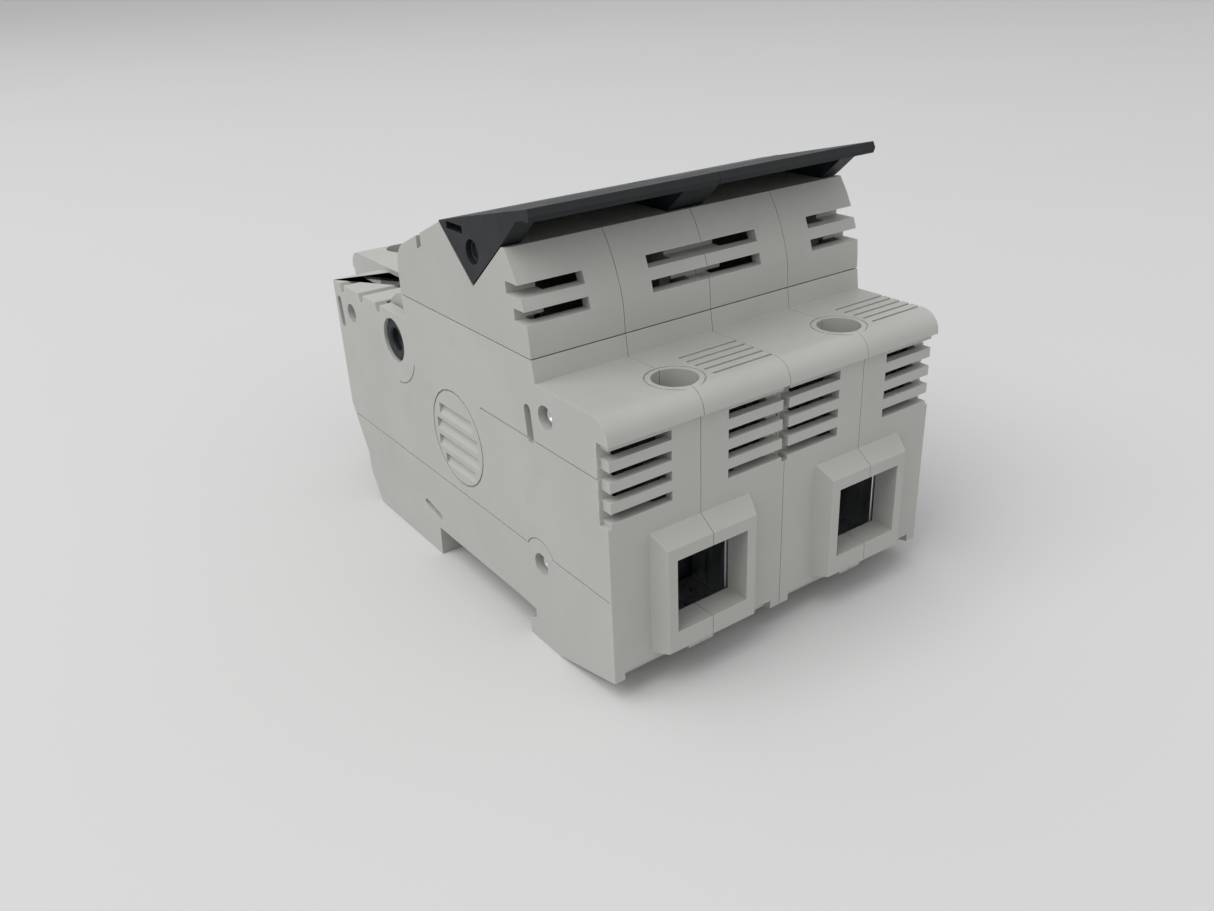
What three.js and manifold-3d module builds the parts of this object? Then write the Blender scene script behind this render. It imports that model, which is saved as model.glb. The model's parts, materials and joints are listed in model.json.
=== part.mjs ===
// Two-pole DIN rail holder for cylindrical fuse links, with a tilting fuse carrier.
// Millimetres, +Z up. The holder lies on its rail side; X runs across the poles and
// Y runs from the front terminals (-Y) to the rear terminals (+Y).
import * as THREE from "three";
import { mergeVertices } from "three/addons/utils/BufferGeometryUtils.js";
import Module from "manifold-3d";

const wasm = await Module();
wasm.setup();

// ---------------------------------------------------------------- driving dimensions
// Drawing coordinates: y from the front wall, z from the front wall's bottom edge.
const POLE_WIDTH = 35;
const FOOT_Z = -3.9; // lowest face of the housing
const MOUTH_Y = -3; // front of the cable mouth frames
const REAR_Y = 110.7; // rear wall of the rear terminal tongues
const REAR_FRAME = 1.8; // how far the rear mouth frames stand out
const SIDE_REAR_Y = 95.3; // rear edge of the side walls
const LEDGE_Z = 44.9; // top of the terminal ledges
const RIBS_Z = 43.9; // top of the ribbed strips beside the rear terminals
const SEAM_Z = 48.5; // top rim of the housing under the carrier
const SEAM_GAP = 0.2;
const HALF = POLE_WIDTH / 2 - 0.06; // outer side of a shell, from its pole's middle
const SPLIT = 0.06; // half the joint between two half shells
const INNER = 15; // half width of the fuse chamber
const WALL = 1.6; // front and rear walls
const PIVOT = { y: 68.2, z: 38.2, bush: 4.1, bore: 2.2, barrel: 8.3, recess: 8.7 };
const FUSE = { radius: 11, length: 58, cap: 16, y: 23.6, z: 30 };
const CAGE = { halfX: 7.6, depth: 8.4, z0: 3.8, z1: 27, wall: 1, top: 3, bottom: 1.5 };
const CHAMBER = { halfX: 8.2, depth: 10.4, z0: 3.3, z1: 34.2 };
const SCREW = { shank: 2.6, head: 3.4, headZ: 34.5, headTall: 3, bore: 3.7, slot: 1 };
const BAR = { halfX: 6, z0: 20.5, thick: 2, frontY: 2.6 };
const JAW = { inner: 11.2, outer: 12.05, tip: 33 };
const MOUTH = { halfX: 7.1, z0: 6.9, z1: 19.9 };
const FRAME = { baseX: 10, faceX: 8.9, baseZ: 24.3, faceZ: 22.1, z0: 2.4 };
const FRONT_SCREW_Y = 6;
const REAR_SCREW_Y = REAR_Y - FRONT_SCREW_Y;
const REAR_X = 3; // rear terminals sit this far right of the pole's middle
const TONGUE_LEFT = 6.5; // the tongue runs from here to the pole's right side
const LOUVRE = { x: 5.5, z: 28.4, slot: 1.6, pitch: 3.35, count: 4 };
const CARRIER_SLOT = { x: 6, z: 53.8, slot: 1.9, pitch: 3.75, count: 2 };
const VENT = { y: 45.8, z: 25.8, radius: 9.1, inner: 7.5 };
const LATCH = { halfX: 6, z0: -2.3, z1: 0.8, nose: 56.2, end: 93 };
const TIES = [
  { y: 15.3, z: 40.2 },
  { y: 87.7, z: 38.6 },
  { y: 19.8, z: 12.3 },
];
const TIE = { hole: 2, shank: 1.4, head: 1.8, headLong: 1.2, sunk: 1.1 };
const HANDLE = { flange: 3.6, hole: 2, rod: 1.5, y: 33.4, z: 61.9 };
const ROUND = 28; // sides of a round part
const EPS = 0.01;

// ---------------------------------------------------------------- colours
const paint = (color, roughness, metalness = 0) =>
  new THREE.MeshStandardMaterial({ color, roughness, metalness });
const HOUSING_GREY = paint(0xb9bab5, 0.55);
const CARRIER_GREY = paint(0xb7b6b3, 0.55);
const HANDLE_GREY = paint(0x353a3e, 0.5);
const STEEL = paint(0xb8b8ba, 0.35, 1);
const SILVERED = paint(0xc9c3b4, 0.3, 1);
const CERAMIC = paint(0xe6e2d8, 0.4);

// ---------------------------------------------------------------- solids
function solid(geometry) {
  const bare = geometry.index ? geometry.toNonIndexed() : geometry;
  const positions = new THREE.BufferGeometry().setAttribute(
    "position",
    bare.getAttribute("position"),
  );
  const merged = mergeVertices(positions, 1e-4);
  return new wasm.Manifold(
    new wasm.Mesh({
      numProp: 3,
      vertProperties: merged.attributes.position.array,
      triVerts: new Uint32Array(merged.index.array),
    }),
  );
}

// A box between two values on each axis; the values may come in either order.
function box(xs, ys, zs) {
  const [low, high] = [Math.min, Math.max].map((pick) => [xs, ys, zs].map((v) => pick(...v)));
  const size = high.map((v, i) => v - low[i]);
  const middle = high.map((v, i) => (v + low[i]) / 2);
  return solid(new THREE.BoxGeometry(...size).translate(...middle));
}

// A side-view outline of [y, z] points, extruded across X between two values.
function across(points, xs) {
  const [x0, x1] = [Math.min(...xs), Math.max(...xs)];
  const shape = new THREE.Shape(points.map(([y, z]) => new THREE.Vector2(y, z)));
  const geometry = new THREE.ExtrudeGeometry(shape, { depth: x1 - x0, bevelEnabled: false });
  const turn = new THREE.Matrix4().makeBasis(
    new THREE.Vector3(0, 1, 0),
    new THREE.Vector3(0, 0, 1),
    new THREE.Vector3(1, 0, 0),
  );
  return solid(geometry.applyMatrix4(turn).translate(x0, 0, 0));
}

// A plan-view outline of [x, y] points, extruded up between two heights.
function upright(points, zs) {
  const shape = new THREE.Shape(points.map(([x, y]) => new THREE.Vector2(x, y)));
  const depth = zs[1] - zs[0];
  const geometry = new THREE.ExtrudeGeometry(shape, { depth, bevelEnabled: false });
  return solid(geometry.translate(0, 0, zs[0]));
}

function rodX(radius, xs, y, z, sides = ROUND) {
  const [x0, x1] = [Math.min(...xs), Math.max(...xs)];
  const geometry = new THREE.CylinderGeometry(radius, radius, x1 - x0, sides);
  return solid(geometry.rotateZ(Math.PI / 2).translate((x0 + x1) / 2, y, z));
}

function rodY(radius, ys, x, z, sides = ROUND) {
  const geometry = new THREE.CylinderGeometry(radius, radius, ys[1] - ys[0], sides);
  return solid(geometry.translate(x, (ys[0] + ys[1]) / 2, z));
}

function rodZ(radius, zs, x, y, sides = ROUND) {
  const geometry = new THREE.CylinderGeometry(radius, radius, zs[1] - zs[0], sides);
  return solid(geometry.rotateX(Math.PI / 2).translate(x, y, (zs[0] + zs[1]) / 2));
}

// Points of an arc about a centre, angles in degrees from +Y towards +Z.
function arc(y, z, radius, from, to, steps) {
  return Array.from({ length: steps + 1 }, (_, i) => {
    const a = ((from + ((to - from) * i) / steps) * Math.PI) / 180;
    return [y + radius * Math.cos(a), z + radius * Math.sin(a)];
  });
}

const joined = (...parts) => parts.reduce((a, b) => a.add(b));
const cutBy = (body, ...tools) => tools.reduce((a, b) => a.subtract(b), body);

function meshOf(name, made, material) {
  const data = made.getMesh();
  const geometry = new THREE.BufferGeometry();
  geometry.setAttribute("position", new THREE.BufferAttribute(data.vertProperties, data.numProp));
  geometry.setIndex(new THREE.BufferAttribute(data.triVerts, 1));
  geometry.computeVertexNormals();
  const mesh = new THREE.Mesh(geometry, material);
  mesh.name = name;
  return mesh;
}

// ---------------------------------------------------------------- housing half shells
// Side outline of a shell, from the front wall's foot round under the rail seat.
const LIP = { y: 0.8, radius: 3.6 };
const SHELL_OUTLINE = [
  [0, 0],
  [16.1, FOOT_Z],
  [25, FOOT_Z],
  [24.7, -0.7],
  [22.8, 0.1],
  [22.8, 1.9],
  [28, 2.2],
  [58, 2.2],
  [58.4, FOOT_Z],
  [86.3, FOOT_Z],
  [90, 2.4],
  [90.2, 7],
  [92.6, 11.4],
  [SIDE_REAR_Y, 17],
  [SIDE_REAR_Y, RIBS_Z],
  [62, RIBS_Z],
  [62, SEAM_Z],
  [18.1, SEAM_Z],
  [17.6, LEDGE_Z],
  ...arc(LIP.radius - LIP.y, LEDGE_Z - LIP.radius, LIP.radius, 90, 180, 6),
  [-LIP.y, 41],
  [0, 41],
];

// The space inside a pole for the fuse, its jaws and the carrier's lower half.
const FUSE_SPACE = [
  [19.5, 16.6],
  [48, 16.6],
  [48, 12.2],
  [84, 12.2],
  [84, 42.2],
  ...arc(PIVOT.y, PIVOT.z, PIVOT.recess, 27, 52, 2),
  [PIVOT.y + 5.4, SEAM_Z + 2],
  [19.5, SEAM_Z + 2],
  [19.5, 43],
  [17, 42],
  [17, 28],
];

// The mouth frame: a block that tapers towards its face, both in plan and in height.
function mouthFrame(x, wallY, out) {
  const faceY = wallY + out;
  const inY = wallY - Math.sign(out);
  const plan = [
    [x - FRAME.baseX, inY],
    [x - FRAME.baseX, wallY],
    [x - FRAME.faceX, faceY],
    [x + FRAME.faceX, faceY],
    [x + FRAME.baseX, wallY],
    [x + FRAME.baseX, inY],
  ];
  const height = [
    [inY, FRAME.z0],
    [faceY, FRAME.z0 + 1],
    [faceY, FRAME.faceZ],
    [wallY, FRAME.baseZ],
    [inY, FRAME.baseZ],
  ];
  const ordered = out < 0 ? [...plan].reverse() : plan;
  const profile = out < 0 ? [...height].reverse() : height;
  return upright(ordered, [0, 30]).intersect(across(profile, [x - 20, x + 20]));
}

// Clears one terminal: cable mouth, cage chamber, contact bar slot and screw bore.
function terminalSpace(x, wallY, inward, screwY) {
  const reach = (halfX) => [x - halfX, x + halfX];
  const chamberY = [wallY + inward * WALL, wallY + inward * (WALL + CHAMBER.depth)];
  const mouthY = [wallY - inward * 6, wallY + inward * (WALL + 1)];
  const barY = [chamberY[1] - inward, wallY + inward * 28];
  const barX = reach(BAR.halfX + 0.5);
  return joined(
    box(reach(CHAMBER.halfX), chamberY, [CHAMBER.z0, CHAMBER.z1]),
    box(reach(MOUTH.halfX), mouthY, [MOUTH.z0, MOUTH.z1]),
    box(barX, barY, [BAR.z0 - 4, BAR.z0 + BAR.thick + 0.5]),
    rodZ(SCREW.bore, [CHAMBER.z1 - 1, LEDGE_Z + 2], x, screwY),
  );
}

function frontLouvres(side) {
  const cuts = [];
  for (let i = 0; i < LOUVRE.count; i++) {
    const z = LOUVRE.z + i * LOUVRE.pitch;
    cuts.push(box([side * LOUVRE.x, side * 20], [-1, WALL + 0.5], [z, z + LOUVRE.slot]));
  }
  const recess = box([side * (HALF - 0.6), side * 20], [-1, 2], [27.6, 41]);
  const behind = box([side * LOUVRE.x, side * INNER], [WALL, WALL + 2.2], [28.4, 40.6]);
  return joined(recess, behind, ...cuts);
}

// Fine ridges on the front ledge, to the right of the screw.
function ledgeGrooves(side) {
  const cuts = [];
  for (let i = 0; i < 5; i++) {
    const y = 3.3 + i * 2.05;
    cuts.push(box([side * 5.4, side * 20], [y, y + 0.55], [LEDGE_Z - 0.45, LEDGE_Z + 1]));
  }
  return joined(...cuts);
}

// Three cross grooves with sloping flanks on the strip beside the rear terminal.
function ribGrooves(side) {
  const cuts = [73.4, 81.2, 90.4].map((y) => {
    const groove = [
      [y - 0.9, RIBS_Z + 1],
      [y, RIBS_Z - 1.7],
      [y + 0.9, RIBS_Z - 1.7],
      [y + 2.1, RIBS_Z + 1],
    ];
    return across(groove, [side * (TONGUE_LEFT + EPS), side * 20]);
  });
  return joined(...cuts);
}

// A fine ring in the ledge around a screw hole.
function holeRing(x, y) {
  const z = [LEDGE_Z - 0.25, LEDGE_Z + 1];
  return cutBy(rodZ(4.8, z, x, y), rodZ(4.5, [LEDGE_Z - 1, LEDGE_Z + 2], x, y));
}

// Fine witness lines in the outer side: two level lines, and arcs round a boss and the pivot.
function sideLines(skin) {
  const fine = skin(0.25);
  const ringAt = (y, z, radius) =>
    cutBy(rodX(radius + 0.15, fine, y, z, 40), rodX(radius - 0.15, skin(1), y, z, 40));
  const boss = ringAt(TIES[2].y, TIES[2].z, 4.6);
  const swing = ringAt(PIVOT.y, PIVOT.z, PIVOT.barrel);
  return joined(
    box(fine, [2, 36], [34.85, 35.15]),
    box(fine, [0.6, TIES[2].y - 4], [14.65, 14.95]),
    box(fine, [TIES[2].y + 4, SIDE_REAR_Y - 0.6], [14.65, 14.95]),
    boss.intersect(box([-20, 20], [0, 40], [14.65, 20])),
    swing.intersect(box([-20, 20], [PIVOT.y - 12, PIVOT.y], [20, PIVOT.z - 2.8])),
  );
}

// Blind grille, slots and pockets in the outer side of a shell.
function sideMarks(side) {
  const face = side * HALF;
  const skin = (depth) => [face - side * depth, face + side];
  const ring = cutBy(
    rodX(VENT.radius, skin(0.35), VENT.y, VENT.z),
    rodX(VENT.radius - 0.35, skin(1), VENT.y, VENT.z),
  );
  const louvres = [];
  for (let i = 0; i < 4; i++) {
    const z = VENT.z + 5.2 - i * 3.3;
    const reach = Math.sqrt(VENT.inner ** 2 - (z - VENT.z - 0.5) ** 2);
    const wedge = [
      [z, face],
      [z - 2.3, face],
      [z, face - side * 1.3],
    ];
    // The wedge is drawn across the wall, then cut to the grille's width.
    const tool = new THREE.Shape(wedge.map(([h, x]) => new THREE.Vector2(h, x)));
    const geometry = new THREE.ExtrudeGeometry(tool, { depth: 2 * reach, bevelEnabled: false });
    const turn = new THREE.Matrix4().makeBasis(
      new THREE.Vector3(0, 0, 1),
      new THREE.Vector3(1, 0, 0),
      new THREE.Vector3(0, 1, 0),
    );
    louvres.push(solid(geometry.applyMatrix4(turn).translate(side * EPS, VENT.y - reach, 0)));
  }
  return joined(
    ring,
    sideLines(skin),
    ...louvres,
    across(slotOutline(20, 35.1, 20.5, 39.9, 0.95), skin(1.4)),
    across(slotOutline(92.9, 35.3, 93.4, 40.1, 0.95), skin(1.4)),
    across(slotOutline(57.2, 5, 62.6, 6, 0.75), skin(1.2)),
  );
}

// A slot with round ends between two points of the side view.
function slotOutline(y0, z0, y1, z1, radius) {
  const a = (Math.atan2(z1 - z0, y1 - y0) * 180) / Math.PI;
  return [...arc(y0, z0, radius, a + 90, a + 270, 4), ...arc(y1, z1, radius, a - 90, a + 90, 4)];
}

function halfShell(side) {
  const outer = joined(
    across(SHELL_OUTLINE, [side * SPLIT, side * HALF]),
    mouthFrame(0, 0, MOUTH_Y).intersect(box([side * SPLIT, side * 20], [-9, 9], [0, 30])),
    rearTongue(side),
  );
  const foot = box([side * 2.6, side * (HALF - 2)], [-1, WALL], [-1, 1.5]);
  const latchWay = box([-side, side * (LATCH.halfX + 0.4)], [57, 95], [LATCH.z0 - 0.3, LATCH.z1 + 0.3]);
  const noseWay = box([-side, side * (LATCH.halfX + 0.4)], [55.5, 58.4], [0, 2.9]);
  const bush = rodX(PIVOT.bush + 0.15, [side * (INNER - 1), side * 20], PIVOT.y, PIVOT.z);
  const ties = TIES.map(({ y, z }) => rodX(TIE.hole, [-side, side * 20], y, z, 16));
  const marks = side > 0 ? ledgeGrooves(side) : ribGrooves(side);
  return cutBy(
    outer,
    across(FUSE_SPACE, [-side, side * INNER]),
    terminalSpace(0, 0, 1, FRONT_SCREW_Y),
    terminalSpace(REAR_X, REAR_Y, -1, REAR_SCREW_Y),
    frontLouvres(side),
    foot,
    latchWay,
    noseWay,
    bush,
    marks,
    holeRing(0, FRONT_SCREW_Y),
    sideMarks(side),
    ...ties,
  );
}

// The rear terminal stands out behind the side walls, to the right of the ribbed strip.
function rearTongue(side) {
  const outline = [
    [80, 3],
    [REAR_Y, 3],
    [REAR_Y, 41],
    [REAR_Y + LIP.y, 41],
    ...arc(REAR_Y + LIP.y - LIP.radius, LEDGE_Z - LIP.radius, LIP.radius, 0, 90, 6),
    [78, LEDGE_Z],
    [78, 40],
  ];
  const end = side < 0 ? -TONGUE_LEFT : HALF;
  const frame = mouthFrame(REAR_X, REAR_Y, REAR_FRAME);
  return joined(
    across(outline, [side * SPLIT, end]),
    frame.intersect(box([side * SPLIT, end], [90, 120], [0, 30])),
  );
}

// ---------------------------------------------------------------- carrier half shells
const CARRIER_FRONT = [
  [18.2, SEAM_Z + SEAM_GAP],
  [18.25, 51],
  [18.5, 53.6],
  [19.2, 56.2],
  [20.4, 59.3],
  [21.8, 62],
  [23.4, 64.4],
];
const CARRIER_OUTLINE = [
  ...CARRIER_FRONT,
  [43.9, 64.4],
  [44.2, 64.6],
  ...arc(56.2, 53.2, 5.8, 62, 0, 5),
  [62, SEAM_Z + SEAM_GAP],
];
const CARRIER_SPACE = [
  [20.2, SEAM_Z - 1],
  [20.3, 51],
  [20.6, 53.6],
  [21.2, 55.8],
  [22.4, 58.8],
  [25, 62.6],
  [43.2, 62.6],
  [55.4, 56.6],
  [60, 53],
  [60, SEAM_Z - 1],
];
const V_NOTCH = [
  [44.3, 65.3],
  [34.2, 56.2],
  [23.2, 65.3],
];

// The carrier's side plate inside the housing, with its hinge barrel.
function carrierPlate(side) {
  const xs = [side * 12.3, side * 14.4];
  const plate = across(
    [
      [25, 38],
      [40, 27],
      [62, 27],
      [68, 30],
      [68.2, 46.4],
      [62, 43.6],
      [62, 50],
      [60, 56],
      [25, 56],
    ],
    xs,
  );
  const barrel = rodX(PIVOT.barrel, xs, PIVOT.y, PIVOT.z, 40);
  const hood = [
    ...arc(PIVOT.y, PIVOT.z, PIVOT.barrel, 50, 152, 10),
    ...arc(PIVOT.y, PIVOT.z, PIVOT.barrel - 1.5, 152, 50, 10),
  ];
  const apron = [
    [59.9, 42.4],
    [62, 42.4],
    [62, SEAM_Z + 1],
    [59.9, SEAM_Z + 1],
  ];
  const wide = [side * SPLIT, side * 14.4];
  return joined(plate, barrel, across(hood, wide), across(apron, wide));
}

// A C-shaped saddle that holds the fuse link by its ceramic body.
function fuseSaddle(side) {
  const saddle = cutBy(
    rodY(12.5, [43, 60], 0, FUSE.z, 40),
    rodY(FUSE.radius + 0.25, [42, 61], 0, FUSE.z, 40),
    box([-20, 20], [42, 61], [0, FUSE.z - 5]),
  );
  return saddle.intersect(box([side * SPLIT, side * 14], [42, 61], [0, 50]));
}

function carrierHalf(side) {
  const block = cutBy(
    across(CARRIER_OUTLINE, [side * SPLIT, side * HALF]),
    across(CARRIER_SPACE, [-side, side * 12.3]),
    across(CARRIER_SPACE, [-side, side * 15.4]).intersect(box([-20, 20], [0, 80], [40, 54])),
  );
  const slots = [];
  for (let i = 0; i < CARRIER_SLOT.count; i++) {
    const z = CARRIER_SLOT.z + i * CARRIER_SLOT.pitch;
    const y = 18.6 + 1.9 * i;
    const ys = [y - 2, y + 3.4];
    slots.push(box([side * CARRIER_SLOT.x, side * 20], ys, [z, z + CARRIER_SLOT.slot]));
  }
  const notch = across(V_NOTCH, [side * (HALF - HANDLE.flange - 0.3), side * 20]);
  const groove = across(
    [
      [51.4, 62],
      [51.4, 59.4],
      [53, 58.6],
      [53, 62],
    ],
    [-side, side * 20],
  );
  const bush = rodX(PIVOT.bush + 0.08, [side * 11, side * 20], PIVOT.y, PIVOT.z);
  const fuse = rodY(FUSE.radius + 0.25, [20, 84], 0, FUSE.z, 40);
  const body = joined(cutBy(block, notch, groove, ...slots), carrierPlate(side), fuseSaddle(side));
  const tieBore = rodX(HANDLE.rod + 0.3, [-side, side * 20], HANDLE.y, HANDLE.z, 20);
  return cutBy(body, bush, fuse, tieBore);
}

// ---------------------------------------------------------------- handle
const HANDLE_TOP = [
  [16.4, 71.2],
  [22, 69.4],
  [28, 67.4],
  [33, 66.4],
  [38, 66],
  [43.6, 65.1],
];
const PLATE = [
  [43.6, 65.1],
  [43.7, 64.8],
  [40, 64.7],
  [24, 68],
  [17.6, 69.4],
  [16.2, 69.3],
  [15.9, 70.2],
  [16.4, 71.2],
];

function handleHalf() {
  const flange = [
    [43.7, 64.9],
    [34.2, 56.6],
    [23.7, 65.2],
    [19.4, 69],
    ...HANDLE_TOP.slice(1),
  ];
  const width = [-HALF, HALF];
  const flanges = [-1, 1].map((s) => across(flange, [s * (HALF - HANDLE.flange), s * HALF]));
  const plate = across([...PLATE, [28, 68.6], [38, 66.4]], width);
  const ties = rodX(HANDLE.hole, [-20, 20], HANDLE.y, HANDLE.z, 20);
  const pockets = [-1, 1].map((s) => box([s * (HALF - 1.6), s * 20], [36, 41.2], [64.2, 65.4]));
  return cutBy(joined(plate, ...flanges), ties, ...pockets);
}

// ---------------------------------------------------------------- metal parts
// A spring jaw for one fuse cap: a plate with two upright fingers, and the contact bar
// that carries on from it, over a step, into the terminal's cage.
function jaw(rear) {
  const x = rear ? REAR_X : 0;
  const jawY = rear ? [66, 80] : [24.5, 36.5];
  const plateZ = rear ? [12.8, 14.3] : [17.2, 18.6];
  const legY = rear ? [82.2, 83.7] : [19.7, 21.2];
  const barY = rear ? [legY[0], REAR_Y - BAR.frontY] : [BAR.frontY, legY[1]];
  const plateY = rear ? [jawY[0], legY[1]] : [legY[0], jawY[1]];
  const barX = [x - BAR.halfX, x + BAR.halfX];
  const barZ = [BAR.z0, BAR.z0 + BAR.thick];
  const fingerZ = [plateZ[0], JAW.tip];
  return joined(
    box([-JAW.outer, JAW.outer], jawY, plateZ),
    box([-JAW.outer, -JAW.inner], jawY, fingerZ),
    box([JAW.inner, JAW.outer], jawY, fingerZ),
    box(barX, plateY, plateZ),
    box(barX, legY, [plateZ[0], barZ[1]]),
    box(barX, barY, barZ),
  );
}

// The clamp cage rises on its screw and pulls the cable up against the contact bar.
function cage(x, screwY) {
  const y = [screwY - CAGE.depth / 2, screwY + CAGE.depth / 2];
  const inner = CAGE.halfX - CAGE.wall;
  const window = [CAGE.z0 + CAGE.bottom, CAGE.z1 - CAGE.top];
  return cutBy(
    box([x - CAGE.halfX, x + CAGE.halfX], y, [CAGE.z0, CAGE.z1]),
    box([x - inner, x + inner], [y[0] - 1, y[1] + 1], window),
    rodZ(SCREW.shank + 0.35, [window[1] - 1, CAGE.z1 + 1], x, screwY),
  );
}

function terminalScrew(x, screwY) {
  const top = SCREW.headZ + SCREW.headTall;
  const driveZ = [top - 1.4, top + 1];
  const half = SCREW.slot / 2;
  return cutBy(
    joined(
      rodZ(SCREW.shank, [BAR.z0 + BAR.thick + 0.3, SCREW.headZ + 1], x, screwY),
      rodZ(SCREW.head, [SCREW.headZ, top], x, screwY),
    ),
    box([x - 5, x + 5], [screwY - half, screwY + half], driveZ),
    box([x - half, x + half], [screwY - 2.2, screwY + 2.2], driveZ),
  );
}

function tieRivet({ y, z }) {
  const end = HALF - TIE.sunk;
  const heads = [-1, 1].map((s) => rodX(TIE.head, [s * end, s * (end - TIE.headLong)], y, z, 16));
  return joined(rodX(TIE.shank, [-end, end], y, z, 16), ...heads);
}

function pivotBush(xs) {
  return cutBy(
    rodX(PIVOT.bush, xs, PIVOT.y, PIVOT.z),
    rodX(PIVOT.bore, [xs[0] - 1, xs[1] + 1], PIVOT.y, PIVOT.z),
  );
}

// The rail latch: a flat slider with a hooked nose and a slotted pull tab.
function railLatch() {
  const side = [
    [LATCH.nose, LATCH.z1 - 0.1],
    [LATCH.nose + 1.6, LATCH.z0],
    [LATCH.end, LATCH.z0],
    [LATCH.end, LATCH.z1],
    [LATCH.nose, LATCH.z1],
  ];
  return cutBy(
    across(side, [-LATCH.halfX, LATCH.halfX]),
    box([-2.6, 2.6], [LATCH.end - 2.2, LATCH.end - 1], [LATCH.z0 - 1, LATCH.z1 + 1]),
    box([-3.6, 3.6], [66, 82], [LATCH.z0 - 1, LATCH.z1 + 1]),
  );
}

// ---------------------------------------------------------------- fuse link
function fuseTube() {
  return rodY(FUSE.radius - 0.5, [FUSE.y + 1, FUSE.y + FUSE.length - 1], 0, FUSE.z, 40);
}

function fuseCap(rear) {
  const y0 = rear ? FUSE.y + FUSE.length - FUSE.cap : FUSE.y;
  const inY = rear ? [y0 - 1, y0 + FUSE.cap - 0.7] : [y0 + 0.7, y0 + FUSE.cap + 1];
  return cutBy(
    rodY(FUSE.radius, [y0, y0 + FUSE.cap], 0, FUSE.z, 40),
    rodY(FUSE.radius - 0.3, inY, 0, FUSE.z, 40),
  );
}

// ---------------------------------------------------------------- assembly
const holder = new THREE.Group();
const lengthMiddle = (MOUTH_Y + REAR_Y + REAR_FRAME) / 2;
holder.position.set(0, -lengthMiddle, -FOOT_Z);

const poles = [
  ["left", -POLE_WIDTH / 2],
  ["right", POLE_WIDTH / 2],
];
for (const [pole, x] of poles) {
  const group = new THREE.Group();
  group.position.x = x;
  const put = (name, made, material) => group.add(meshOf(`${pole}_pole_${name}`, made, material));
  put("housing_left_shell", halfShell(-1), HOUSING_GREY);
  put("housing_right_shell", halfShell(1), HOUSING_GREY);
  put("carrier_left_shell", carrierHalf(-1), CARRIER_GREY);
  put("carrier_right_shell", carrierHalf(1), CARRIER_GREY);
  put("handle", handleHalf(), HANDLE_GREY);
  put("front_jaw", jaw(false), SILVERED);
  put("rear_jaw", jaw(true), SILVERED);
  put("front_terminal_cage", cage(0, FRONT_SCREW_Y), STEEL);
  put("rear_terminal_cage", cage(REAR_X, REAR_SCREW_Y), STEEL);
  put("front_terminal_screw", terminalScrew(0, FRONT_SCREW_Y), STEEL);
  put("rear_terminal_screw", terminalScrew(REAR_X, REAR_SCREW_Y), STEEL);
  put("rail_latch", railLatch(), HANDLE_GREY);
  put("fuse_tube", fuseTube(), CERAMIC);
  put("fuse_front_cap", fuseCap(false), SILVERED);
  put("fuse_rear_cap", fuseCap(true), SILVERED);
  TIES.forEach((tie, i) => put(`tie_rivet_${i + 1}`, tieRivet(tie), STEEL));
  holder.add(group);
}

// Parts that reach across both poles.
const BUSH_IN = POLE_WIDTH - 5; // inner ends of the outer pivot bushes
holder.add(
  meshOf("pivot_bush_left", pivotBush([-POLE_WIDTH + 0.5, -BUSH_IN]), HANDLE_GREY),
  meshOf("pivot_bush_centre", pivotBush([-5, 5]), HANDLE_GREY),
  meshOf("pivot_bush_right", pivotBush([BUSH_IN, POLE_WIDTH - 0.5]), HANDLE_GREY),
);
const rodEnd = POLE_WIDTH - 1.2;
holder.add(
  meshOf("handle_tie_rod", rodX(HANDLE.rod, [-rodEnd, rodEnd], HANDLE.y, HANDLE.z, 16), HANDLE_GREY),
);

export default holder;
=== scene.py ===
import json
import math

import bmesh
import bpy
from mathutils import Matrix, Vector


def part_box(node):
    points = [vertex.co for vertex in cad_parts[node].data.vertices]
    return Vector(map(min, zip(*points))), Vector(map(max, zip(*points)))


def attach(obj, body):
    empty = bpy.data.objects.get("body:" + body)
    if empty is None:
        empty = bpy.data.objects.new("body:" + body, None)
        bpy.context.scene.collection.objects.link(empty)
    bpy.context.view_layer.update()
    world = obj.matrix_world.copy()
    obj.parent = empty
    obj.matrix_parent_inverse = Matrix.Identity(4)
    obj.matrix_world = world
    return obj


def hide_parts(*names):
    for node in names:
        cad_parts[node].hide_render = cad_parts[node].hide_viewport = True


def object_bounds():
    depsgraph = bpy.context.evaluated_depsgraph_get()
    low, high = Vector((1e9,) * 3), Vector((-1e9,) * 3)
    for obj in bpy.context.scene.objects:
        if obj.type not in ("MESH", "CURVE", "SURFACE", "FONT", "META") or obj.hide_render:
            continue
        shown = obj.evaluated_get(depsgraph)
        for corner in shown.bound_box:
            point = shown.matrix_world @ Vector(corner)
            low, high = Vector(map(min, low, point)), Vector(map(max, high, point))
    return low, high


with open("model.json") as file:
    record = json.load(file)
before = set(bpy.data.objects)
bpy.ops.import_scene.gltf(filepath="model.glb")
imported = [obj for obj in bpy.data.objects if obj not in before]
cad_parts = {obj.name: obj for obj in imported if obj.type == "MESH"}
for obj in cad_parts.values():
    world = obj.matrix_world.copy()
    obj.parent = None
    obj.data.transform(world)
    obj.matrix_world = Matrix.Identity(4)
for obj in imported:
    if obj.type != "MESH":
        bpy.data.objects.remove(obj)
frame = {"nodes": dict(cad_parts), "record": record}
cad_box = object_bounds()

# Lengths are in metres, as Blender keeps them, and are written as millimetres times MM.
MM = 0.001
POLES = ("left", "right")
SIDES = ("left", "right")
ENDS = ("front", "rear")
# The way from an end or a side of the holder towards its middle, along Y or X.
INWARD = {"front": 1, "rear": -1, "left": 1, "right": -1}
MOUTH_FRAME = 3.0 * MM  # the cable mouth frames stand this far in front of the front wall
FOOT_DROP = 3.9 * MM  # the housing's feet reach this far below the front wall's foot


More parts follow.
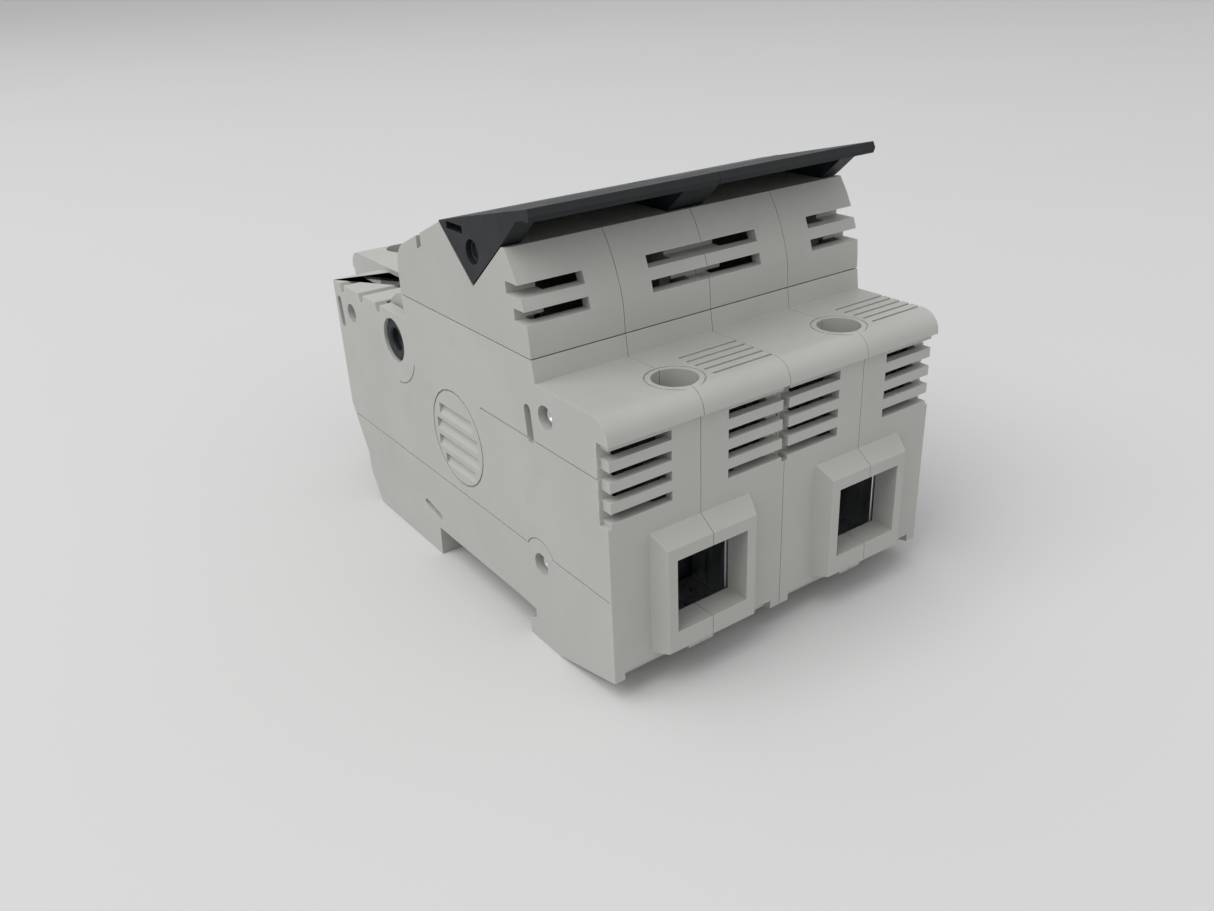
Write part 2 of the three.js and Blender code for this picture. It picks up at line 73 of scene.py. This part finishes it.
# ------------------------------------------------------------------ materials
def new_material(name):
    """A node material, its tree, its Principled shader and object coordinates."""
    material = bpy.data.materials.new(name)
    material.use_nodes = True
    tree = material.node_tree
    shader = tree.nodes["Principled BSDF"]
    place = tree.nodes.new("ShaderNodeTexCoord").outputs["Object"]
    return material, tree, shader, place


def noise(tree, vector, scale, detail, stretch=None):
    """A noise texture's factor, stretched along the axes if asked."""
    if stretch:
        mapping = tree.nodes.new("ShaderNodeMapping")
        mapping.inputs["Scale"].default_value = stretch
        tree.links.new(vector, mapping.inputs["Vector"])
        vector = mapping.outputs["Vector"]
    texture = tree.nodes.new("ShaderNodeTexNoise")
    texture.inputs["Scale"].default_value = scale
    texture.inputs["Detail"].default_value = detail
    tree.links.new(vector, texture.inputs["Vector"])
    return texture.outputs["Fac"]


NOISE_RANGE = (0.3, 0.7)  # most of a noise texture's factor lies in this


def spread(tree, value, source, target):
    """Maps a value from one range to another, clamped."""
    ranger = tree.nodes.new("ShaderNodeMapRange")
    for key, number in zip(("From Min", "From Max", "To Min", "To Max"), (*source, *target)):
        ranger.inputs[key].default_value = number
    tree.links.new(value, ranger.inputs["Value"])
    return ranger.outputs["Result"]


# The Mix node repeats its socket names for each data type, so its colour sockets go by number.
MIX_FACTOR, MIX_A, MIX_B, MIX_RESULT = 0, 6, 7, 2


def blend_colours(tree, factor, low, high):
    """Mixes two colours by a factor; each is a tuple or another node's socket."""
    mix = tree.nodes.new("ShaderNodeMix")
    mix.data_type = "RGBA"
    tree.links.new(factor, mix.inputs[MIX_FACTOR])
    for index, colour in ((MIX_A, low), (MIX_B, high)):
        if isinstance(colour, tuple):
            mix.inputs[index].default_value = (*colour, 1.0)
        else:
            tree.links.new(colour, mix.inputs[index])
    return mix.outputs[MIX_RESULT]


def bumps(tree, shader, layers):
    """Stacks bump layers of (height, strength, distance) into the shader's normal."""
    normal = None
    for height, strength, distance in layers:
        bump = tree.nodes.new("ShaderNodeBump")
        bump.inputs["Strength"].default_value = strength
        bump.inputs["Distance"].default_value = distance
        tree.links.new(height, bump.inputs["Height"])
        if normal:
            tree.links.new(normal, bump.inputs["Normal"])
        normal = bump.outputs["Normal"]
    tree.links.new(normal, shader.inputs["Normal"])


def edge_mask(tree):
    """Rises from 0 on flats to 0.8 along edges, as a wider radius would turn the surface."""
    rounded = tree.nodes.new("ShaderNodeBevel")
    rounded.samples = 4
    rounded.inputs["Radius"].default_value = 0.35 * MM
    facing = tree.nodes.new("ShaderNodeNewGeometry").outputs["Normal"]
    compare = tree.nodes.new("ShaderNodeVectorMath")
    compare.operation = "DOT_PRODUCT"
    tree.links.new(rounded.outputs["Normal"], compare.inputs[0])
    tree.links.new(facing, compare.inputs[1])
    return spread(tree, compare.outputs["Value"], (0.995, 0.86), (0.0, 0.8))


def tinted(colour, gain):
    """The colour made lighter or darker, each channel kept to 1 at most."""
    return tuple(min(1.0, channel * gain) for channel in colour)


def moulded_plastic(name, colour, roughness, edge_wear_and_highlight=1.1, grain=0.35, gloss=0.4):
    """Spark-textured moulding: fine grain, flow mottling, handling marks, and edges painted
    lighter, partly as wear and partly as a painted highlight.
    """
    material, tree, shader, place = new_material(name)
    mottle = spread(tree, noise(tree, place, 55.0, 4.0), NOISE_RANGE, (0.0, 1.0))
    base = blend_colours(tree, mottle, tinted(colour, 0.965), tinted(colour, 1.03))
    smudge = spread(tree, noise(tree, place, 130.0, 6.0), (0.6, 0.78), (0.0, 0.5))
    base = blend_colours(tree, smudge, base, tinted(colour, 0.9))
    # Edges lighter: partly wear, partly a painted highlight along the edges.
    base = blend_colours(tree, edge_mask(tree), base, tinted(colour, edge_wear_and_highlight))
    tree.links.new(base, shader.inputs["Base Color"])
    patches = noise(tree, place, 240.0, 3.0)
    shine = spread(tree, patches, NOISE_RANGE, (roughness - 0.05, roughness + 0.07))
    tree.links.new(shine, shader.inputs["Roughness"])
    scuffs = noise(tree, place, 420.0, 2.0, (1.0, 0.16, 1.0))
    bumps(
        tree,
        shader,
        [
            (noise(tree, place, 5200.0, 2.0), grain, 0.02 * MM),
            (scuffs, 0.12, 0.03 * MM),
            (noise(tree, place, 36.0, 1.0), 0.10, 0.25 * MM),
        ],
    )
    shader.inputs["IOR"].default_value = 1.5
    shader.inputs["Specular IOR Level"].default_value = gloss
    return material


def plated_metal(name, colour, roughness, tint, stretch):
    """Plated metal: drawn grain along one axis, patchy passivation, fine pits and a painted
    highlight on the edges.
    """
    material, tree, shader, place = new_material(name)
    patch = spread(tree, noise(tree, place, 300.0, 4.0), (0.4, 0.7), (0.0, 0.8))
    base = blend_colours(tree, patch, colour, tint)
    # Edges painted near-white: a painted highlight along the edges.
    base = blend_colours(tree, edge_mask(tree), base, (0.86, 0.86, 0.85))
    tree.links.new(base, shader.inputs["Base Color"])
    drawn = noise(tree, place, 900.0, 3.0, stretch)
    shine = spread(tree, drawn, NOISE_RANGE, (roughness - 0.08, roughness + 0.12))
    tree.links.new(shine, shader.inputs["Roughness"])
    pits = noise(tree, place, 2600.0, 2.0)
    bumps(tree, shader, [(drawn, 0.05, 0.01 * MM), (pits, 0.05, 0.01 * MM)])
    shader.inputs["Metallic"].default_value = 1.0
    return material


def fired_ceramic(name, colour):
    """Glazed tube: smooth, with fine iron specks and a slightly wavy surface."""
    material, tree, shader, place = new_material(name)
    speck = spread(tree, noise(tree, place, 1500.0, 2.0), (0.7, 0.76), (0.0, 0.7))
    cloud = spread(tree, noise(tree, place, 90.0, 3.0), NOISE_RANGE, (0.0, 1.0))
    base = blend_colours(tree, cloud, tinted(colour, 0.96), colour)
    base = blend_colours(tree, speck, base, (0.42, 0.37, 0.3))
    tree.links.new(base, shader.inputs["Base Color"])
    shine = spread(tree, noise(tree, place, 400.0, 3.0), NOISE_RANGE, (0.18, 0.32))
    tree.links.new(shine, shader.inputs["Roughness"])
    bumps(tree, shader, [(noise(tree, place, 120.0, 2.0), 0.12, 0.1 * MM)])
    shader.inputs["Coat Weight"].default_value = 0.4
    return material


def floor_paper(name, colour):
    """Matt pale paper with a very faint, broad unevenness."""
    material, tree, shader, place = new_material(name)
    cloud = spread(tree, noise(tree, place, 5.0, 3.0), NOISE_RANGE, (0.0, 1.0))
    base = blend_colours(tree, cloud, tinted(colour, 0.985), colour)
    tree.links.new(base, shader.inputs["Base Color"])
    shader.inputs["Roughness"].default_value = 0.85
    shader.inputs["Specular IOR Level"].default_value = 0.2
    bumps(tree, shader, [(noise(tree, place, 700.0, 3.0), 0.06, 0.05 * MM)])
    return material


HOUSING = moulded_plastic("housing_plastic", (0.415, 0.419, 0.394), 0.5)
CARRIER = moulded_plastic("carrier_plastic", (0.398, 0.394, 0.374), 0.5)
SLATE = moulded_plastic(
    "slate_plastic", (0.0145, 0.0175, 0.0195), 0.52, edge_wear_and_highlight=1.9, grain=0.45, gloss=0.25
)
LABEL = moulded_plastic("label_plastic", (0.045, 0.051, 0.056), 0.4, edge_wear_and_highlight=1.4, grain=0.2)
GRAIN_ALONG_Y = (1.0, 0.12, 1.0)
GRAIN_ALONG_Z = (1.0, 1.0, 0.12)
ZINC = plated_metal("zinc_plate", (0.60, 0.61, 0.63), 0.34, (0.50, 0.51, 0.50), GRAIN_ALONG_Z)
SILVER = plated_metal("silver_plate", (0.74, 0.72, 0.67), 0.3, (0.66, 0.63, 0.57), GRAIN_ALONG_Y)
CERAMIC = fired_ceramic("ceramic", (0.80, 0.77, 0.70))
BY_SLOT = {
    "housing": HOUSING,
    "carrier": CARRIER,
    "handle": SLATE,
    "steel": ZINC,
    "silvered": SILVER,
    "ceramic": CERAMIC,
}


# ------------------------------------------------------------------ shared helpers
def soften(piece, width, weld=True):
    """Small radii on every edge over 28 degrees, with even shading on the flats.

    A CAD node is welded first, and its flats are cleared of loose triangle edges."""
    if weld:
        piece.modifiers.new("weld", "WELD").merge_threshold = 0.005 * MM
        planar = piece.modifiers.new("planar", "DECIMATE")
        planar.decimate_type = "DISSOLVE"
        planar.angle_limit = math.radians(0.6)
    bevel = piece.modifiers.new("radii", "BEVEL")
    bevel.width = width
    bevel.segments = 2
    bevel.limit_method = "ANGLE"
    bevel.angle_limit = math.radians(28)
    bevel.use_clamp_overlap = True
    bevel.harden_normals = True
    split = piece.modifiers.new("creases", "EDGE_SPLIT")
    split.split_angle = math.radians(50)
    piece.modifiers.new("shading", "WEIGHTED_NORMAL").keep_sharp = True
    stored = piece.data.attributes.get("custom_normal")
    if stored:
        piece.data.attributes.remove(stored)
    for polygon in piece.data.polygons:
        polygon.use_smooth = True


def add_piece(name, mesh, material, body, replaced=()):
    """Links a new piece, and says what it rides on and stands for."""
    piece = bpy.data.objects.new(name, mesh)
    bpy.context.scene.collection.objects.link(piece)
    mesh.materials.clear()
    mesh.materials.append(material)
    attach(piece, body)
    if replaced:
        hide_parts(*replaced)
    return piece


def turned(name, profile, centre, axis, sides, closed=False):
    """A mesh turned about an axis from (radius, place along the axis) points.

    A closed profile is a ring's section; an open one starts and ends on the axis."""
    axis = Vector(axis)
    across = axis.orthogonal().normalized()
    other = axis.cross(across)
    angles = [2 * math.pi * i / sides for i in range(sides)]
    spokes = [across * math.cos(angle) + other * math.sin(angle) for angle in angles]
    mesh = bpy.data.meshes.new(name)
    shape = bmesh.new()
    rings = []
    for radius, along in profile:
        middle = Vector(centre) + axis * along
        if radius == 0:
            rings.append([shape.verts.new(middle)])
        else:
            rings.append([shape.verts.new(middle + spoke * radius) for spoke in spokes])
    pairs = list(zip(rings, rings[1:]))
    if closed:
        pairs.append((rings[-1], rings[0]))
    for low, high in pairs:
        for i in range(sides):
            j = (i + 1) % sides
            # A ring on the axis is one vertex, so its corners repeat and are taken once.
            round_face = ((low, i), (low, j), (high, j), (high, i))
            corners = [ring[place % len(ring)] for ring, place in round_face]
            shape.faces.new(list(dict.fromkeys(corners)))
    bmesh.ops.recalc_face_normals(shape, faces=shape.faces)
    shape.to_mesh(mesh)
    shape.free()
    return mesh


def blocks(name, spans):
    """One mesh of plain boxes, each given by its lowest and highest corner."""
    mesh = bpy.data.meshes.new(name)
    shape = bmesh.new()
    for low, high in spans:
        size = Vector(high) - Vector(low)
        middle = (Vector(high) + Vector(low)) / 2
        fit = Matrix.Translation(middle) @ Matrix.Diagonal((*size, 1))
        bmesh.ops.create_cube(shape, size=1.0, matrix=fit)
    shape.to_mesh(mesh)
    shape.free()
    return mesh


def cut(mesh, cutters):
    """The mesh with each cutter's mesh taken away, as a new mesh."""
    scene = bpy.context.scene
    body = bpy.data.objects.new("cut_body", mesh)
    scene.collection.objects.link(body)
    tools = []
    for i, cutter in enumerate(cutters):
        tool = bpy.data.objects.new(f"cutter_{i}", cutter)
        scene.collection.objects.link(tool)
        modifier = body.modifiers.new(f"cut_{i}", "BOOLEAN")
        modifier.operation = "DIFFERENCE"
        modifier.object = tool
        modifier.solver = "EXACT"
        tools.append(tool)
    depsgraph = bpy.context.evaluated_depsgraph_get()
    result = bpy.data.meshes.new_from_object(body.evaluated_get(depsgraph))
    for helper in (body, *tools):
        bpy.data.objects.remove(helper)
    return result


def middle_of(node):
    """The middle of a CAD node's box, and the box's lowest and highest corner."""
    low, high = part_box(node)
    return (low + high) / 2, low, high


# ------------------------------------------------------------------ CAD nodes kept
slot_of = {part["node"]: part["material_slot"] for part in frame["record"]["subparts"]}
for name, piece in frame["nodes"].items():
    piece.data.materials.clear()
    piece.data.materials.append(BY_SLOT[slot_of[name]])
    is_large_moulding = "shell" in name or name.endswith("handle")
    soften(piece, (0.22 if is_large_moulding else 0.15) * MM)


# ------------------------------------------------------------------ clamp screws
def clamp_screw(pole, end):
    """A cheese head with a cross and slot drive, and turned thread rings on its shank."""
    name = f"{pole}_pole_{end}_terminal_screw"
    middle, low, high = middle_of(name)
    top = high.z
    head = (high.x - low.x) / 2
    neck = top - 3 * MM  # underside of the head
    crest = 2.55 * MM
    root = crest - 0.42 * MM
    pitch = 0.8 * MM
    point = 0.5 * MM  # chamfer at the tip

    z = low.z + point
    profile = [(0, low.z), (root - point, low.z), (root, z)]
    while z + pitch < neck - pitch / 2:
        profile += [(crest, z + 0.38 * pitch), (crest, z + 0.5 * pitch)]
        profile += [(root, z + 0.9 * pitch), (root, z + pitch)]
        z += pitch
    profile += [(root, neck), (head - 0.35 * MM, neck), (head, neck + 0.35 * MM)]
    profile += [(head, top - 0.6 * MM), (head - 0.2 * MM, top - 0.2 * MM), (head - 0.7 * MM, top)]
    profile += [(0, top)]
    at = Vector((middle.x, middle.y, 0))
    body = turned(name + "_turned", profile, at, (0, 0, 1), 56)

    # A slot across the whole head, and a shorter one that crosses it.
    half = 0.5 * MM
    deep = top - 1.4 * MM
    drives = []
    for label, reach_x, reach_y in (("slot", 9 * MM, half), ("cross", half, 2.2 * MM)):
        corner = at + Vector((-reach_x, -reach_y, deep))
        opposite = at + Vector((reach_x, reach_y, top + MM))
        drives.append(blocks(label, [(corner, opposite)]))
    mesh = cut(body, drives)
    body_name = f"{pole}_{end}_terminal_screw"
    piece = add_piece(f"screw_{pole}_{end}", mesh, ZINC, body_name, [name])
    soften(piece, 0.07 * MM, weld=False)


for pole in POLES:
    for end in ENDS:
        clamp_screw(pole, end)


# ------------------------------------------------------------------ pivot bushes and rivets
def pivot_bush(side):
    """A moulded sleeve with a raised rim and a stepped bore."""
    name = f"pivot_bush_{side}"
    middle, low, high = middle_of(name)
    half = (high.x - low.x) / 2
    outer = (high.z - low.z) / 2
    bore = outer * 0.53
    waist = bore - 0.3 * MM  # the bore narrows to this between two steps
    rim = 0.35 * MM
    step = 1.4 * MM
    slope = 0.2 * MM
    profile = [
        (bore + rim, -half),
        (outer - rim, -half),
        (outer, -half + rim),
        (outer, half - rim),
        (outer - rim, half),
        (bore + rim, half),
        (bore, half - rim),
        (bore, half - step),
        (waist, half - step - slope),
        (waist, -half + step + slope),
        (bore, -half + step),
        (bore, -half + rim),
    ]
    mesh = turned(name + "_turned", profile, middle, (1, 0, 0), 64, closed=True)
    piece = add_piece(f"bush_{side}", mesh, SLATE, "housing", [name])
    soften(piece, 0.08 * MM, weld=False)


def tie_rivet(pole, number):
    """A semi-tubular rivet: domed rims, with a hollow rolled end on both sides."""
    name = f"{pole}_pole_tie_rivet_{number}"
    middle, low, high = middle_of(name)
    half = (high.x - low.x) / 2
    shank = 1.4 * MM
    head_long = 1.2 * MM
    # One head, from its hollow middle over the rolled rim: (radius, depth below the end), mm.
    hollow = [(0.0, 1.1), (0.55, 1.1), (0.8, 0.25)]
    rim = [(1.05, 0.0), (1.35, 0.05), (1.65, 0.35), (1.8, 0.8), (1.8, 1.2)]
    near = [(radius * MM, -half + depth * MM) for radius, depth in hollow + rim]
    far = [(radius, -along) for radius, along in reversed(near)]
    profile = [*near, (shank, -half + head_long), (shank, half - head_long), *far]
    mesh = turned(name + "_turned", profile, middle, (1, 0, 0), 40)
    piece = add_piece(f"rivet_{pole}_{number}", mesh, ZINC, "housing", [name])
    for polygon in piece.data.polygons:
        polygon.use_smooth = True


for side in ("left", "centre", "right"):
    pivot_bush(side)
for pole in POLES:
    for number in (1, 2, 3):
        tie_rivet(pole, number)


# ------------------------------------------------------------------ fuse links
def fuse_cap(pole, end):
    """A pressed cap with a dished end and two rolled grooves."""
    name = f"{pole}_pole_fuse_{end}_cap"
    middle, low, high = middle_of(name)
    start = low.y if end == "front" else high.y
    # Outline in mm: (radius, distance from the cap's outer end).
    radius = (high.z - low.z) / 2 / MM
    length = (high.y - low.y) / MM
    skin = 0.3
    groove = 0.12
    outline = [(0, 0.45), (radius - 3.2, 0.45), (radius - 2.6, 0.1), (radius - 1.2, 0.0)]
    outline += [(radius - 0.35, 0.3), (radius, 1.2)]
    for at in (9.6, 12.4):
        outline += [(radius, at), (radius - groove, at + 0.4)]
        outline += [(radius - groove, at + 1.2), (radius, at + 1.6)]
    outline += [(radius, length - 0.1), (radius - 0.15, length), (radius - skin, length)]
    outline += [(radius - skin, 1.0), (0, 1.0)]
    profile = [(across * MM, along * MM) for across, along in outline]
    centre = (middle.x, start, middle.z)
    mesh = turned(name + "_turned", profile, centre, (0, INWARD[end], 0), 72)
    piece = add_piece(f"fuse_cap_{pole}_{end}", mesh, SILVER, "carrier", [name])
    soften(piece, 0.05 * MM, weld=False)


def fuse_tube(pole):
    """The glazed ceramic tube between the caps, with eased ends."""
    name = f"{pole}_pole_fuse_tube"
    middle, low, high = middle_of(name)
    half = (high.y - low.y) / 2
    outer = (high.z - low.z) / 2
    lip = 0.6 * MM
    profile = [(0, -half), (outer - lip, -half), (outer, -half + lip)]
    profile += [(outer, half - lip), (outer - lip, half), (0, half)]
    mesh = turned(name + "_turned", profile, middle, (0, 1, 0), 72)
    piece = add_piece(f"fuse_tube_{pole}", mesh, CERAMIC, "carrier", [name])
    soften(piece, 0.25 * MM, weld=False)


for pole in POLES:
    for end in ENDS:
        fuse_cap(pole, end)
    fuse_tube(pole)


# ------------------------------------------------------------------ dark plates behind the openings, as painted shade
def chamber_shade_plate(pole, end):
    """A dark plate, with two ribs, at the back of a terminal's chamber: painted shade that
    darkens the chamber behind the cage.
    """
    middle, low, high = middle_of(f"{pole}_pole_{end}_terminal_cage")
    face = high.y if end == "front" else low.y
    half = 7.7 * MM
    base = low.z - 0.1 * MM

    def bar(near, far, bottom, top):
        """A bar across the chamber, from near to far behind the cage, in mm."""
        ys = sorted((face + INWARD[end] * near * MM, face + INWARD[end] * far * MM))
        zs = (base + bottom * MM, base + top * MM)
        return ((middle.x - half, ys[0], zs[0]), (middle.x + half, ys[1], zs[1]))

    plate = bar(1.15, 1.6, 0, 16.4)
    ribs = [bar(0.9, 1.15, bottom, bottom + 0.6) for bottom in (4.6, 10.6)]
    mesh = blocks(f"chamber_shade_plate_{pole}_{end}", [plate, *ribs])
    # A dark plate painting the shade inside the chamber.
    piece = add_piece(f"chamber_shade_plate_{pole}_{end}", mesh, SLATE, "housing")
    soften(piece, 0.08 * MM, weld=False)


def louvre_shade_plate(pole, side):
    """A dark ribbed plate a few millimetres behind a group of front louvres: painted shade that
    darkens the slots.

    Its lower part stays clear of the terminal cage, which rises beside it."""
    low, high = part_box(f"{pole}_pole_housing_{side}_shell")
    seam = high.x if side == "left" else low.x
    wall = low.y + MOUTH_FRAME
    base = low.z + 32.7 * MM
    top = base + 11.4 * MM
    clear = 8.4  # mm from the seam: the cage's side, with some room
    cage_top = base + 5.6 * MM  # the raised cage stays below this

    def bar(near, far, front, back, bottom):
        """An upright bar: near to far from the seam, front to back behind the wall, in mm."""
        xs = sorted((seam - INWARD[side] * near * MM, seam - INWARD[side] * far * MM))
        return ((xs[0], wall + front * MM, bottom), (xs[1], wall + back * MM, top))

    boxes = [
        bar(clear, 14.7, 3.2, 3.6, base),
        bar(5.9, clear, 3.2, 3.6, cage_top),
    ]
    for i in range(3):
        boxes.append(bar(9.2 + 2.2 * i, 9.7 + 2.2 * i, 2.7, 3.2, base))
    mesh = blocks(f"louvre_shade_plate_{pole}_{side}", boxes)
    # A dark plate painting the shade behind the louvre slots.
    piece = add_piece(f"louvre_shade_plate_{pole}_{side}", mesh, SLATE, "housing")
    soften(piece, 0.06 * MM, weld=False)


for pole in POLES:
    for end in ENDS:
        chamber_shade_plate(pole, end)
    for side in SIDES:
        louvre_shade_plate(pole, side)


# ------------------------------------------------------------------ label plates, collars
def label_plate(pole):
    """A thin blank marking plate on the sloping top of a handle, behind its lip."""
    low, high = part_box(f"{pole}_pole_handle")
    front = low.y
    top = high.z
    # The handle's top falls away behind the lip: (distance from the lip, drop), in mm.
    slope = [(5.6, 1.75), (12.1, 3.75), (17.1, 4.75), (22.1, 5.15)]
    inset = 1.6 * MM
    thick = 0.45 * MM
    mesh = bpy.data.meshes.new(f"label_{pole}")
    shape = bmesh.new()
    outlines = []
    for x in (low.x + inset, high.x - inset):
        under = [shape.verts.new((x, front + y * MM, top - z * MM)) for y, z in slope]
        over = [shape.verts.new((x, front + y * MM, top - z * MM + thick)) for y, z in slope]
        outlines.append(under + over[::-1])
    left, right = outlines
    shape.faces.new(left)
    shape.faces.new(right[::-1])
    for i in range(len(left)):
        j = (i + 1) % len(left)
        shape.faces.new([left[i], right[i], right[j], left[j]])
    bmesh.ops.recalc_face_normals(shape, faces=shape.faces)
    shape.to_mesh(mesh)
    shape.free()
    piece = add_piece(f"label_plate_{pole}", mesh, LABEL, "carrier")
    soften(piece, 0.12 * MM, weld=False)


def tie_rod_collar(side):
    """A dark bush with a rolled rim, set in the outer flange's hole around the tie rod's end."""
    middle, low, high = middle_of("handle_tie_rod")
    end = low.x if side == "left" else high.x
    way = INWARD[side]
    inner = (high.z - low.z) / 2 + 0.06 * MM
    outer = inner + 0.4 * MM
    rim = 0.12 * MM
    start = -way * 0.3 * MM  # the collar stands out this far past the rod's end
    shoulder = start + way * 0.2 * MM
    finish = start + way * 2.7 * MM
    profile = [
        (inner, shoulder),
        (inner + rim, start),
        (outer - rim, start),
        (outer, shoulder),
        (outer, finish),
        (inner, finish),
    ]
    centre = (end, middle.y, middle.z)
    mesh = turned(f"collar_{side}", profile, centre, (1, 0, 0), 40, closed=True)
    piece = add_piece(f"tie_rod_collar_{side}", mesh, SLATE, "carrier")
    soften(piece, 0.05 * MM, weld=False)


for pole in POLES:
    label_plate(pole)
for side in SIDES:
    tie_rod_collar(side)


# ------------------------------------------------------------------ floor, light, camera
FLOOR_HALF = 14.0  # metres: far enough to meet the backdrop at the horizon
FLOOR_TOP = 0.1 * MM  # below the holder's feet
FLOOR_UNDER = 4 * MM

low, high = (Vector(corner) for corner in cad_box)
floor_low = (-FLOOR_HALF, -FLOOR_HALF, low.z - FLOOR_UNDER)
floor_high = (FLOOR_HALF, FLOOR_HALF, low.z - FLOOR_TOP)
floor_mesh = blocks("floor", [(floor_low, floor_high)])
floor = bpy.data.objects.new("floor", floor_mesh)
bpy.context.scene.collection.objects.link(floor)
floor.data.materials.append(floor_paper("floor_paper", (0.60, 0.60, 0.597)))


def soft_box(name, place, target, size, watts, colour):
    """A square area light that faces its target."""
    lamp = bpy.data.lights.new(name, "AREA")
    lamp.shape = "SQUARE"
    lamp.size = size
    lamp.energy = watts
    lamp.color = colour
    holder = bpy.data.objects.new(name, lamp)
    bpy.context.scene.collection.objects.link(holder)
    holder.location = place
    aim = Vector(target) - Vector(place)
    holder.rotation_euler = aim.to_track_quat("-Z", "Y").to_euler()


middle = (low + high) / 2
soft_box(
    "key", (-1.15, 0.05, 1.8), middle, size=1.8, watts=29.5, colour=(1.0, 0.995, 0.985)
)
soft_box(
    "front_fill", (0.3, -1.6, 0.9), middle, size=1.5, watts=1.5, colour=(0.99, 0.995, 1.0)
)
world = bpy.data.worlds.new("studio")
world.use_nodes = True
background = world.node_tree.nodes["Background"]
background.inputs["Color"].default_value = (0.985, 0.99, 1.0, 1.0)
background.inputs["Strength"].default_value = 0.7
bpy.context.scene.world = world
bpy.context.scene.view_settings.view_transform = "Standard"

# The camera looks along -back from a place measured off the foot of the front wall.
AZIMUTH = math.radians(-34.49)
ELEVATION = math.radians(26.19)
ROLL = math.radians(-2.60)
DISTANCE = 180.7 * MM
SHIFT_RIGHT = -29.65 * MM
SHIFT_UP = 25.59 * MM
SENSOR_WIDTH = 36.0  # mm, as Blender counts it
FOCAL_LENGTH = 31.06
FRONT_EDGE = Vector((0, low.y + MOUTH_FRAME, low.z + FOOT_DROP))
back = Vector(
    (
        math.sin(AZIMUTH) * math.cos(ELEVATION),
        -math.cos(AZIMUTH) * math.cos(ELEVATION),
        math.sin(ELEVATION),
    )
)
right = (-back).cross(Vector((0, 0, 1))).normalized()
up = right.cross(-back)
level_right = math.cos(ROLL) * right + math.sin(ROLL) * up
level_up = math.cos(ROLL) * up - math.sin(ROLL) * right
eye = FRONT_EDGE + back * DISTANCE + level_right * SHIFT_RIGHT + level_up * SHIFT_UP
camera_data = bpy.data.cameras.new("camera")
camera_data.sensor_width = SENSOR_WIDTH
camera_data.lens = FOCAL_LENGTH
camera_data.clip_start = 10 * MM
camera = bpy.data.objects.new("camera", camera_data)
bpy.context.scene.collection.objects.link(camera)
turn = Matrix((level_right, level_up, back)).transposed().to_4x4()
camera.matrix_world = Matrix.Translation(eye) @ turn
bpy.context.scene.camera = camera
